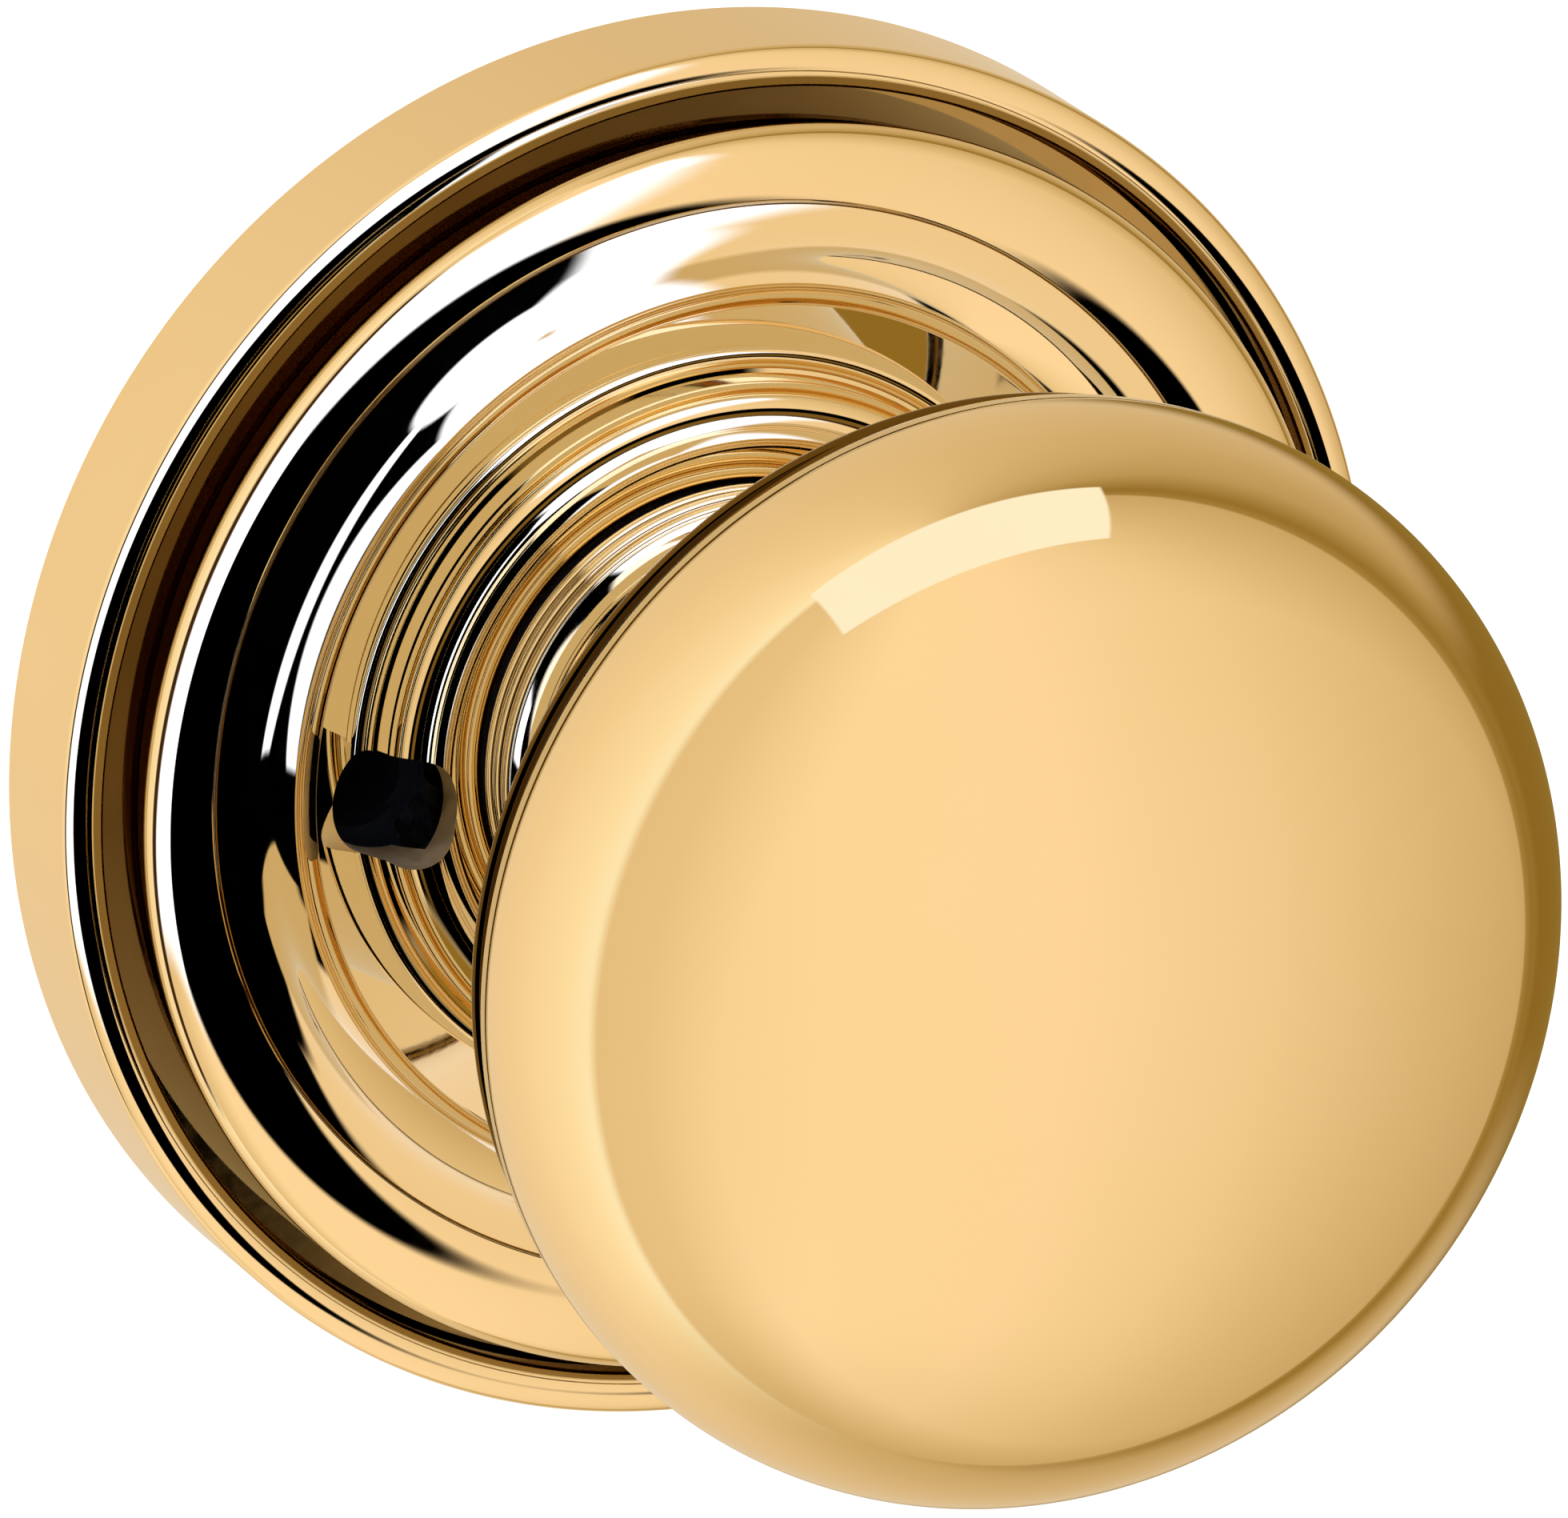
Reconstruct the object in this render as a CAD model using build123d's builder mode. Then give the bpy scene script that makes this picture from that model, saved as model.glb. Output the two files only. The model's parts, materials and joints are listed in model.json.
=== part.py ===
"""Outside trim of a privacy door knob: knob, moulded rose and the works between rose and door.

Frame: the knob turns about the Y axis, -Y points away from the door, +Z is up, and the origin is
the centre of the rose's back face, on the door. Sections are drawn in the XY plane as distance
from the axis and height off the door, and turned about Y.
"""

import os
from math import cos, radians, sin

from build123d import *

os.makedirs("parts", exist_ok=True)

# driving dimensions, mm
rose_radius = 35.0
rose_thickness = 1.6
rim_height = 6.2
rim_bead = 1.05
ring_shoulder = 1.5
ring_crown = 7.2
bore_radius = 13.05
neck_radius = 12.0
neck_length = 18.0
knob_radius = 27.0
knob_widest = 40.0
knob_edge = 12.0
knob_edge_tilt = 28.0
shell_thickness = 1.5
seam_height = 37.1
plate_thickness = 1.2
plate_radius = 31.5
post_spacing = 38.0
post_radius = 3.5
post_neck = 3.2
post_clearance = 4.8
post_length = 24.0
spindle_width = 8.0
spindle_reach = 44.0
turn_limit = 60.0
hole_x = -17.5
hole_z = -1.3
hole_radius = 2.9
running_gap = 0.05


def at(radius, height):
    """A section point: distance from the axis, height off the door."""
    return (radius, -height)


def tilted(centre, radius, tilt):
    """The section point of an arc whose surface leans outward by tilt from straight ahead."""
    across = centre[0] + radius * sin(radians(tilt))
    return at(across, centre[1] + radius * cos(radians(tilt)))


def turned_arc(centre, radius, first, last):
    """An arc of a turned section, from one lean of its surface to another."""
    points = [tilted(centre, radius, tilt) for tilt in (first, (first + last) / 2, last)]
    return ThreePointArc(*points)


def door_plane(depth):
    """A plane square to the axis, depth behind the door face; its y runs down, against Z."""
    return Plane(origin=(0, depth, 0), x_dir=(1, 0, 0), z_dir=(0, 1, 0))


def keep(part, name):
    """Name a finished piece and write it."""
    part.part.label = name
    export_step(part.part, "parts/" + name + ".step")


# knob_face: the domed front shell, an edge arc that runs into a shallow dome
edge_centre = (knob_radius - knob_edge, knob_widest)
tilt_sine = sin(radians(knob_edge_tilt))
tilt_cosine = cos(radians(knob_edge_tilt))
dome_radius = edge_centre[0] / tilt_sine + knob_edge
dome_centre = (0.0, knob_widest - (dome_radius - knob_edge) * tilt_cosine)
dome_top = dome_centre[1] + dome_radius
edge_inside = knob_edge - shell_thickness
seam_radius = edge_centre[0] + (knob_edge**2 - (knob_widest - seam_height) ** 2) ** 0.5
lip_radius = edge_centre[0] + (edge_inside**2 - (knob_widest - seam_height) ** 2) ** 0.5
with BuildPart() as knob_face:
    with BuildSketch():
        with BuildLine():
            outer_edge = ThreePointArc(
                at(seam_radius, seam_height),
                at(knob_radius, knob_widest),
                tilted(edge_centre, knob_edge, knob_edge_tilt),
            )
            outer_dome = turned_arc(dome_centre, dome_radius, knob_edge_tilt, 0)
            axis_line = Line(outer_dome @ 1, at(0, dome_top - shell_thickness))
            inner_dome = turned_arc(
                dome_centre, dome_radius - shell_thickness, 0, knob_edge_tilt
            )
            inner_edge = ThreePointArc(
                inner_dome @ 1,
                at(knob_radius - shell_thickness, knob_widest),
                at(lip_radius, seam_height),
            )
            Line(inner_edge @ 1, outer_edge @ 0)
        make_face()
    revolve(axis=Axis.Y)
keep(knob_face, "knob_face")

# knob_back: neck, bell and beaded rim as one shell, with the groove for the circlip
neck_end = 0.2
insert_radius = 10.2
bell_sweep = 60.0
bell_radius = 15.0
bell_inside = bell_radius + neck_radius - insert_radius
bell_centre = (neck_radius + bell_radius, neck_length)
rim_lip_height = 39.2
rim_lip_radius = lip_radius - 0.35
clip_groove = (0.6, 1.5, 11.3)


def bell(radius, sweep):
    """A point on the bell's concave arc, sweep degrees out from the neck."""
    across = bell_centre[0] - radius * cos(radians(sweep))
    return at(across, bell_centre[1] + radius * sin(radians(sweep)))


with BuildPart() as knob_back:
    with BuildSketch():
        with BuildLine():
            Polyline(
                at(insert_radius, neck_end),
                at(neck_radius, neck_end),
                at(neck_radius, clip_groove[0]),
                at(clip_groove[2], clip_groove[0]),
                at(clip_groove[2], clip_groove[1]),
                at(neck_radius, clip_groove[1]),
                at(neck_radius, neck_length),
            )
            ThreePointArc(
                bell(bell_radius, 0), bell(bell_radius, bell_sweep / 2), bell(bell_radius, bell_sweep)
            )
            Line(bell(bell_radius, bell_sweep), at(25.0, 34.15))
            ThreePointArc(at(25.0, 34.15), at(25.95, 34.55), at(25.65, 35.3))
            Polyline(at(25.65, 35.3), at(25.35, 35.4), at(25.35, 35.6))
            ThreePointArc(at(25.35, 35.6), at(25.75, 35.8), at(25.45, 36.0))
            Line(at(25.45, 36.0), at(25.45, 36.15))
            ThreePointArc(at(25.45, 36.15), at(26.25, 36.5), at(26.05, 36.95))
            Polyline(
                at(26.05, 36.95),
                at(26.2, seam_height),
                at(rim_lip_radius, seam_height),
                at(rim_lip_radius, rim_lip_height),
                at(rim_lip_radius - 1.6, rim_lip_height),
                at(rim_lip_radius - 1.6, 35.8),
                bell(bell_inside, bell_sweep),
            )
            ThreePointArc(
                bell(bell_inside, bell_sweep), bell(bell_inside, bell_sweep / 2), bell(bell_inside, 0)
            )
            Line(bell(bell_inside, 0), at(insert_radius, neck_end))
        make_face()
    revolve(axis=Axis.Y)
    set_screw_height = 12.3
    set_screw_radius = 2.5
    with BuildSketch(Plane(origin=(0, -set_screw_height, 0), z_dir=(0, 0, -1))):
        Circle(set_screw_radius)
    extrude(amount=neck_radius + 1, mode=Mode.SUBTRACT)
keep(knob_back, "knob_back")

# seam_solder: the ring of solder that holds the face on the back's spigot
solder_height = 38.6
solder_radius = edge_centre[0] + (edge_inside**2 - (knob_widest - solder_height) ** 2) ** 0.5
with BuildPart() as seam_solder:
    with BuildSketch():
        with BuildLine():
            Polyline(
                at(lip_radius, seam_height),
                at(rim_lip_radius, seam_height),
                at(rim_lip_radius, solder_height),
                at(solder_radius, solder_height),
                at(lip_radius, seam_height),
            )
        make_face()
    revolve(axis=Axis.Y)
keep(seam_solder, "seam_solder")

# knob_collar: the beaded ring at the foot of the neck
collar_foot = 6.95
collar_top = 9.45
with BuildPart() as knob_collar:
    with BuildSketch():
        with BuildLine():
            Polyline(at(12.0, collar_top), at(12.0, collar_foot), at(12.75, collar_foot))
            ThreePointArc(at(12.75, collar_foot), at(13.1, 7.3), at(12.85, 7.65))
            Polyline(at(12.85, 7.65), at(12.7, 7.7), at(12.7, 7.85))
            ThreePointArc(at(12.7, 7.85), at(13.08, 8.2), at(12.7, 8.55))
            Polyline(at(12.7, 8.55), at(12.6, 8.55), at(12.6, 8.7))
            ThreePointArc(at(12.6, 8.7), at(12.95, 9.0), at(12.6, 9.3))
            Polyline(at(12.6, 9.3), at(12.3, 9.4), at(12.0, collar_top))
        make_face()
    revolve(axis=Axis.Y)
keep(knob_collar, "knob_collar")

# drive_insert: cast core seated in the neck and bell, with the square broach for the spindle
square_gap = 0.05
pin_radius = 1.25
pin_height = 17.0
core_sweep = 22.0
core_head = bell(bell_inside, core_sweep)
with BuildPart() as drive_insert:
    with BuildSketch():
        with BuildLine():
            Polyline(at(0, neck_end), at(insert_radius, neck_end), bell(bell_inside, 0))
            ThreePointArc(bell(bell_inside, 0), bell(bell_inside, core_sweep / 2), core_head)
            Polyline(core_head, (0, core_head[1]), at(0, neck_end))
        make_face()
    revolve(axis=Axis.Y)
    with BuildSketch(door_plane(core_head[1])):
        Rectangle(spindle_width + 2 * square_gap, spindle_width + 2 * square_gap)
    extrude(amount=-core_head[1], mode=Mode.SUBTRACT)
    with BuildSketch(Plane.YZ.offset(-insert_radius - 1)):
        with Locations((-pin_height, 0)):
            Circle(pin_radius)
    extrude(amount=2 * insert_radius + 2, mode=Mode.SUBTRACT)
    with BuildSketch(Plane(origin=(0, -set_screw_height, 0), z_dir=(0, 0, -1))):
        Circle(set_screw_radius)
    extrude(amount=insert_radius + 1, mode=Mode.SUBTRACT)
keep(drive_insert, "drive_insert")

# spindle: the square bar that turns the latch
spindle_front = -23.0
with BuildPart() as spindle:
    with BuildSketch(door_plane(spindle_front)):
        Rectangle(spindle_width, spindle_width)
    extrude(amount=spindle_reach - spindle_front)
    spindle_ends = spindle.faces().filter_by(Axis.Y)
    chamfer(spindle_ends.edges(), 0.8)
    with BuildSketch(Plane.YZ):
        with Locations((-pin_height, 0)):
            Circle(pin_radius)
    extrude(amount=spindle_width, both=True, mode=Mode.SUBTRACT)
keep(spindle, "spindle")

# spindle_pin: the cross pin through insert and spindle
with BuildPart() as spindle_pin:
    with BuildSketch(Plane.YZ.offset(-insert_radius + 0.3)):
        with Locations((-pin_height, 0)):
            Circle(pin_radius)
    extrude(amount=2 * insert_radius - 0.6)
keep(spindle_pin, "spindle_pin")

# knob_set_screw: hex-socket grub screw from below, against the spindle
screw_seat = spindle_width / 2
screw_length = 7.4
with BuildPart() as knob_set_screw:
    with BuildSketch(Plane(origin=(0, -set_screw_height, -screw_seat), z_dir=(0, 0, -1))):
        Circle(set_screw_radius)
    extrude(amount=screw_length)
    screw_ends = knob_set_screw.faces().filter_by(Axis.Z)
    chamfer(screw_ends.edges(), 0.4)
    screw_mouth = -screw_seat - screw_length
    with BuildSketch(Plane(origin=(0, -set_screw_height, screw_mouth), z_dir=(0, 0, 1))):
        RegularPolygon(1.25, 6, major_radius=False)
    extrude(amount=3.0, mode=Mode.SUBTRACT)
keep(knob_set_screw, "knob_set_screw")

# rose: rim bead, groove, big convex ring, sunk annulus, small convex ring and bore
rim_centre = (rose_radius - rim_bead, rim_height)
groove_floor = 5.2
shoulder_centre = (30.26, 8.91)
crown_reach = ring_crown - ring_shoulder
crown_start = 23.0
crown_end = -50.0
inner_shoulder = 1.6
crown_centre = (
    shoulder_centre[0] - crown_reach * sin(radians(crown_start)),
    shoulder_centre[1] - crown_reach * cos(radians(crown_start)),
)
inner_reach = ring_crown - inner_shoulder
inner_centre = (
    crown_centre[0] + inner_reach * sin(radians(crown_end)),
    crown_centre[1] + inner_reach * cos(radians(crown_end)),
)
hollow_edge = inner_centre[0] - inner_shoulder
small_ring_centre = (16.33, 6.44)
small_ring = 1.75
flange_foot = 3.0
bush_flange = (14.5, 2.4)
with BuildPart() as rose:
    with BuildSketch():
        with BuildLine():
            Line(at(rose_radius, 0), at(rose_radius, rim_height))
            rim_arc = turned_arc(rim_centre, rim_bead, 90, -90)
            Polyline(
                rim_arc @ 1,
                at(rim_centre[0] - rim_bead, groove_floor + 0.2),
                at(rim_centre[0] - rim_bead - 0.2, groove_floor),
                at(shoulder_centre[0] + ring_shoulder, groove_floor),
                at(shoulder_centre[0] + ring_shoulder, shoulder_centre[1]),
            )
            turned_arc(shoulder_centre, ring_shoulder, 90, crown_start)
            turned_arc(crown_centre, ring_crown, crown_start, crown_end)
            inner_arc = turned_arc(inner_centre, inner_shoulder, crown_end, -90)
            Polyline(inner_arc @ 1, at(hollow_edge, 6.2), at(19.3, 5.1))
            ThreePointArc(at(19.3, 5.1), at(18.75, 5.2), at(18.45, 5.75))
            Polyline(at(18.45, 5.75), at(18.25, 5.85), tilted(small_ring_centre, small_ring, 85))
            turned_arc(small_ring_centre, small_ring, 85, -55)
            Polyline(
                tilted(small_ring_centre, small_ring, -55),
                at(bore_radius, 6.75),
                at(bore_radius, flange_foot),
                at(bush_flange[0], flange_foot),
                at(bush_flange[0], 5.6),
                at(16.3, 6.4),
                at(17.2, 4.2),
                at(19.6, 3.4),
                at(23.4, 4.7),
                at(23.9, 7.9),
            )
            ThreePointArc(at(23.9, 7.9), at(27.6, 9.25), at(30.0, 8.3))
            Polyline(
                at(30.0, 8.3),
                at(30.0, 3.6),
                at(rose_radius - rose_thickness, 3.6),
                at(rose_radius - rose_thickness, 0),
                at(rose_radius, 0),
            )
        make_face()
    revolve(axis=Axis.Y)
    with BuildSketch(door_plane(-12.0)):
        with Locations((hole_x, -hole_z)):
            Circle(hole_radius)
    extrude(amount=12.0, mode=Mode.SUBTRACT)
keep(rose, "rose")

# neck_bushing: nylon bush in the rose's bore, flanged behind it
bush_top = 6.5
with BuildPart() as neck_bushing:
    with BuildSketch():
        with BuildLine():
            Polyline(
                at(neck_radius + running_gap, bush_flange[1]),
                at(bush_flange[0], bush_flange[1]),
                at(bush_flange[0], flange_foot),
                at(bore_radius, flange_foot),
                at(bore_radius, bush_top),
                at(neck_radius + running_gap, bush_top),
                close=True,
            )
        make_face()
    revolve(axis=Axis.Y)
keep(neck_bushing, "neck_bushing")

# thrust_washer: bronze ring between bush and circlip
with BuildPart() as thrust_washer:
    with BuildSketch(door_plane(-2.3)):
        Circle(14.2)
        Circle(neck_radius + running_gap, mode=Mode.SUBTRACT)
    extrude(amount=0.7)
keep(thrust_washer, "thrust_washer")

# neck_circlip: spring ring in the neck's groove, open at the top, with two plier ears
with BuildPart() as neck_circlip:
    with BuildSketch(door_plane(-clip_groove[1])):
        Circle(13.4)
        with Locations((-2.7, -12.85), (2.7, -12.85)):
            Circle(1.1)
        Circle(clip_groove[2], mode=Mode.SUBTRACT)
        with Locations((0, -13.0)):
            Rectangle(2.4, 6.0, mode=Mode.SUBTRACT)
        with Locations((-2.7, -12.85), (2.7, -12.85)):
            Circle(0.5, mode=Mode.SUBTRACT)
    extrude(amount=clip_groove[1] - clip_groove[0])
keep(neck_circlip, "neck_circlip")

# release guide and pin sizes, shared by the plate, the housing flange and the guide
guide_radius = 3.6
guide_flange = 4.6
guide_end = 19.0
piston_radius = 2.5
pin_shaft = 1.5
post_places = [(0, post_spacing / 2), (0, -post_spacing / 2)]
rivet_ring = 18.5
rivet_radius = 1.2
clip_ring = 29.0
clip_angles = (90, 210, 330)
plate_hole = 16.0

# mounting_plate: the steel plate that the rose snaps over, bearing on the door
with BuildPart() as mounting_plate:
    with BuildSketch(door_plane(-plate_thickness)):
        Circle(plate_radius)
        Circle(plate_hole, mode=Mode.SUBTRACT)
        with Locations(*post_places):
            Circle(post_neck, mode=Mode.SUBTRACT)
        with Locations((hole_x, -hole_z)):
            Circle(guide_radius, mode=Mode.SUBTRACT)
        with PolarLocations(rivet_ring, 4, start_angle=45):
            Circle(rivet_radius, mode=Mode.SUBTRACT)
        with PolarLocations(clip_ring, 3, start_angle=clip_angles[0]):
            Circle(rivet_radius, mode=Mode.SUBTRACT)
    extrude(amount=plate_thickness)
keep(mounting_plate, "mounting_plate")

# mounting_posts: two threaded sleeves staked into the plate, through the latch case
post_head = (4.2, 1.0)
post_thread = 1.7
thread_depth = 10.0
with BuildPart() as mounting_posts:
    with BuildSketch(door_plane(-plate_thickness - post_head[1])):
        with Locations(*post_places):
            Circle(post_head[0])
    extrude(amount=post_head[1])
    with BuildSketch(door_plane(-plate_thickness)):
        with Locations(*post_places):
            Circle(post_neck)
    extrude(amount=plate_thickness)
    with BuildSketch(door_plane(0)):
        with Locations(*post_places):
            Circle(post_radius)
    extrude(amount=post_length)
    post_ends = mounting_posts.faces().group_by(Axis.Y)[-1]
    chamfer(post_ends.edges(), 0.6)
    with BuildSketch(door_plane(post_length - thread_depth)):
        with Locations(*post_places):
            Circle(post_thread)
    extrude(amount=thread_depth, mode=Mode.SUBTRACT)
keep(mounting_posts, "mounting_posts")

# spring_housing: the flanged cup behind the plate, with the dimple that anchors the spring
cup_inside = 12.8
cup_wall = 1.0
cup_depth = 10.0
cover_thickness = 1.0
flange_radius = 25.0
flange_thickness = 0.8
with BuildPart() as spring_housing:
    with BuildSketch(door_plane(0)):
        Circle(flange_radius)
        with Locations(*post_places):
            Circle(post_clearance, mode=Mode.SUBTRACT)
        with Locations((hole_x, -hole_z)):
            Circle(guide_radius, mode=Mode.SUBTRACT)
        with PolarLocations(rivet_ring, 4, start_angle=45):
            Circle(rivet_radius, mode=Mode.SUBTRACT)
    extrude(amount=flange_thickness)
    with BuildSketch(door_plane(0)):
        Circle(cup_inside + cup_wall)
    extrude(amount=cup_depth)
    with BuildSketch(door_plane(0)):
        Circle(cup_inside)
    extrude(amount=cup_depth, mode=Mode.SUBTRACT)
    with BuildSketch(door_plane(2.9)):
        with Locations((0, -cup_inside)):
            Rectangle(2.2, 1.8)
    extrude(amount=cup_depth - cover_thickness - 2.9)
keep(spring_housing, "spring_housing")

# housing_cover: disc staked into the cup, with the hub's bearing hole
hub_radius = 6.2
with BuildPart() as housing_cover:
    with BuildSketch(door_plane(cup_depth - cover_thickness)):
        Circle(cup_inside)
        Circle(hub_radius + running_gap, mode=Mode.SUBTRACT)
    extrude(amount=cover_thickness)
keep(housing_cover, "housing_cover")

# spring_driver: hub on the spindle, with the finger that loads the spring and the stop ear
ear_half = 14.0
ear_radius = 12.3
finger_ring = 10.45
disc_radius = 9.0
disc_front = 1.0
disc_back = 2.4
with BuildPart() as spring_driver:
    with BuildSketch(door_plane(0.3)):
        Circle(hub_radius)
    extrude(amount=cup_depth + 0.3)
    with BuildSketch(door_plane(disc_front)):
        Circle(disc_radius)
        with Locations((0, -9.6)):
            Rectangle(4.0, 3.4)
        with BuildLine():
            ear_left = PolarLine((0, 0), ear_radius, 90 - ear_half)
            ear_right = PolarLine((0, 0), ear_radius, 90 + ear_half)
            ThreePointArc(ear_left @ 1, (0, ear_radius), ear_right @ 1)
        make_face()
    extrude(amount=disc_back - disc_front)
    with BuildSketch(door_plane(disc_back)):
        with Locations((0, -finger_ring)):
            Rectangle(2.0, 1.7)
    extrude(amount=6.3)
    with BuildSketch(door_plane(0.3)):
        Rectangle(spindle_width + 2 * square_gap, spindle_width + 2 * square_gap)
    extrude(amount=cup_depth + 0.3, mode=Mode.SUBTRACT)
keep(spring_driver, "spring_driver")

# turn_stops: two pins on the cover that meet the driver's ear at each end of the turn
stop_ring = 11.3
stop_radius = 1.0
stop_margin = 6.0
stop_angles = [90 + side * (turn_limit + ear_half + stop_margin) for side in (-1, 1)]
with BuildPart() as turn_stops:
    with BuildSketch(door_plane(disc_front + 0.2)):
        for stop_angle in stop_angles:
            with PolarLocations(stop_ring, 1, start_angle=stop_angle):
                Circle(stop_radius)
    extrude(amount=cup_depth - cover_thickness - disc_front - 0.2)
keep(turn_stops, "turn_stops")

# return_spring: torsion spring round the hub, its two legs either side of finger and dimple
wire = 0.6
leg_wire = 0.55
coil_radius = 8.0
coil_pitch = 1.5
coil_start = 3.6
leg_angle = 14.0
coil_height = coil_pitch * (3 + 2 * leg_angle / 360)
leg_reach = 12.3
coil_line = Helix(
    pitch=coil_pitch,
    height=coil_height,
    radius=coil_radius,
    center=(0, coil_start, 0),
    direction=(0, 1, 0),
).rotate(Axis.Y, -leg_angle)
with BuildPart() as return_spring:
    with BuildSketch(Plane(origin=coil_line @ 0, z_dir=coil_line % 0)):
        Circle(wire)
    sweep(path=coil_line)
    for coil_end in (coil_line @ 0.003, coil_line @ 0.997):
        outward = Vector(coil_end.X, 0, coil_end.Z).normalized()
        with BuildSketch(Plane(origin=coil_end, z_dir=outward)):
            Circle(leg_wire)
        extrude(amount=leg_reach - coil_radius)
keep(return_spring, "return_spring")

# housing_rivets: four rivets through plate and flange, headed on both sides
with BuildPart() as housing_rivets:
    with BuildSketch(door_plane(-plate_thickness)):
        with PolarLocations(rivet_ring, 4, start_angle=45):
            Circle(rivet_radius)
    extrude(amount=plate_thickness + flange_thickness)
    with BuildSketch(door_plane(-plate_thickness - 0.7), door_plane(flange_thickness)):
        with PolarLocations(rivet_ring, 4, start_angle=45):
            Circle(2.1)
    extrude(amount=0.7)
keep(housing_rivets, "housing_rivets")

# rose_clips: three bent spring strips on the plate that grip inside the rose's rim
clip_thickness = 0.6
clip_width = 7.0
clip_toe = 26.5
clip_heel = 32.3
clip_bump = rose_radius - rose_thickness + 0.15
with BuildPart() as rose_clips:
    for clip_angle in clip_angles:
        across = Plane.XY.rotated((0, -clip_angle, 0))
        with BuildSketch(across):
            with BuildLine():
                Polyline(
                    at(clip_toe, plate_thickness),
                    at(31.4, plate_thickness),
                    at(clip_bump, 2.3),
                    at(31.9, 3.4),
                    at(31.3, 3.2),
                    at(32.2, 2.3),
                    at(31.1, plate_thickness + clip_thickness),
                    at(clip_toe, plate_thickness + clip_thickness),
                    close=True,
                )
            make_face()
        extrude(amount=clip_width / 2, both=True)
    with BuildSketch(door_plane(-4.0)):
        Circle(rose_radius)
        Circle(rose_radius - rose_thickness, mode=Mode.SUBTRACT)
        with PolarLocations(clip_ring, 3, start_angle=clip_angles[0]):
            Circle(rivet_radius)
    extrude(amount=4.0, mode=Mode.SUBTRACT)
keep(rose_clips, "rose_clips")

# clip_rivets: one flat-headed rivet in each clip
with BuildPart() as clip_rivets:
    with BuildSketch(door_plane(-plate_thickness - clip_thickness)):
        with PolarLocations(clip_ring, 3, start_angle=clip_angles[0]):
            Circle(rivet_radius)
    extrude(amount=plate_thickness + clip_thickness)
    with BuildSketch(door_plane(-plate_thickness - clip_thickness - 0.7)):
        with PolarLocations(clip_ring, 3, start_angle=clip_angles[0]):
            Circle(2.0)
    extrude(amount=0.7)
keep(clip_rivets, "clip_rivets")

# release_guide: flanged sleeve behind the rose's access hole
guide_floor = 1.4
with BuildPart() as release_guide:
    with BuildSketch(door_plane(-plate_thickness - 0.6)):
        with Locations((hole_x, -hole_z)):
            Circle(guide_flange)
        Circle(plate_hole, mode=Mode.SUBTRACT)
    extrude(amount=0.6)
    with BuildSketch(door_plane(-plate_thickness)):
        with Locations((hole_x, -hole_z)):
            Circle(guide_radius)
        Circle(cup_inside, mode=Mode.SUBTRACT)
    extrude(amount=plate_thickness + guide_end)
    with BuildSketch(door_plane(-plate_thickness - 0.6)):
        with Locations((hole_x, -hole_z)):
            Circle(piston_radius + running_gap)
    extrude(amount=plate_thickness + 0.6 + guide_end - guide_floor, mode=Mode.SUBTRACT)
    with BuildSketch(door_plane(guide_end - guide_floor)):
        with Locations((hole_x, -hole_z)):
            Circle(pin_shaft + running_gap)
    extrude(amount=guide_floor, mode=Mode.SUBTRACT)
keep(release_guide, "release_guide")

# release_pin: the piston that a thin rod pushes through the rose's hole, with a shaft to the latch
piston_front = 3.0
piston_back = 6.0
pin_end = 30.0
clip_front = 19.2
clip_core = 1.0
release_clip_thickness = 0.6
with BuildPart() as release_pin:
    with BuildSketch(door_plane(piston_front)):
        with Locations((hole_x, -hole_z)):
            Circle(piston_radius)
    extrude(amount=piston_back - piston_front)
    with BuildSketch(door_plane(piston_back)):
        with Locations((hole_x, -hole_z)):
            Circle(pin_shaft)
    extrude(amount=pin_end - piston_back)
    chamfer(release_pin.faces().sort_by(Axis.Y)[-1].edges(), 0.5)
    with BuildSketch(door_plane(clip_front)):
        with Locations((hole_x, -hole_z)):
            Circle(pin_shaft + 0.2)
            Circle(clip_core, mode=Mode.SUBTRACT)
    extrude(amount=release_clip_thickness, mode=Mode.SUBTRACT)
    with BuildSketch(door_plane(piston_front)):
        with Locations((hole_x, -hole_z)):
            Circle(1.1)
    extrude(amount=0.8, taper=35, mode=Mode.SUBTRACT)
keep(release_pin, "release_pin")

# release_clip: E-clip that stops the pin at rest
with BuildPart() as release_clip:
    with BuildSketch(door_plane(clip_front)):
        with Locations((hole_x, -hole_z)):
            Circle(3.2)
            Circle(clip_core, mode=Mode.SUBTRACT)
        with Locations((hole_x, -hole_z + 2.0)):
            Rectangle(2 * clip_core * 0.9, 4.0, mode=Mode.SUBTRACT)
    extrude(amount=release_clip_thickness)
keep(release_clip, "release_clip")

# release_spring: pushes the piston back towards the rose
release_wire = 0.28
release_coil = 2.1
release_first = piston_back + release_wire
release_last = guide_end - guide_floor - release_wire
with BuildPart() as release_spring:
    release_line = Helix(
        pitch=(release_last - release_first) / 7.5,
        height=release_last - release_first,
        radius=release_coil,
        center=(hole_x, release_first, hole_z),
        direction=(0, 1, 0),
    )
    with BuildSketch(Plane(origin=release_line @ 0, z_dir=release_line % 0)):
        Circle(release_wire)
    sweep(path=release_line, is_frenet=True)
keep(release_spring, "release_spring")
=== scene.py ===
"""The looks of the brass door knob: turned skins with exact normals, materials, light and camera."""

import json
from math import cos, pi, radians, sin

import bmesh
import bpy
import numpy as np
from mathutils import Matrix, Vector


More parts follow.
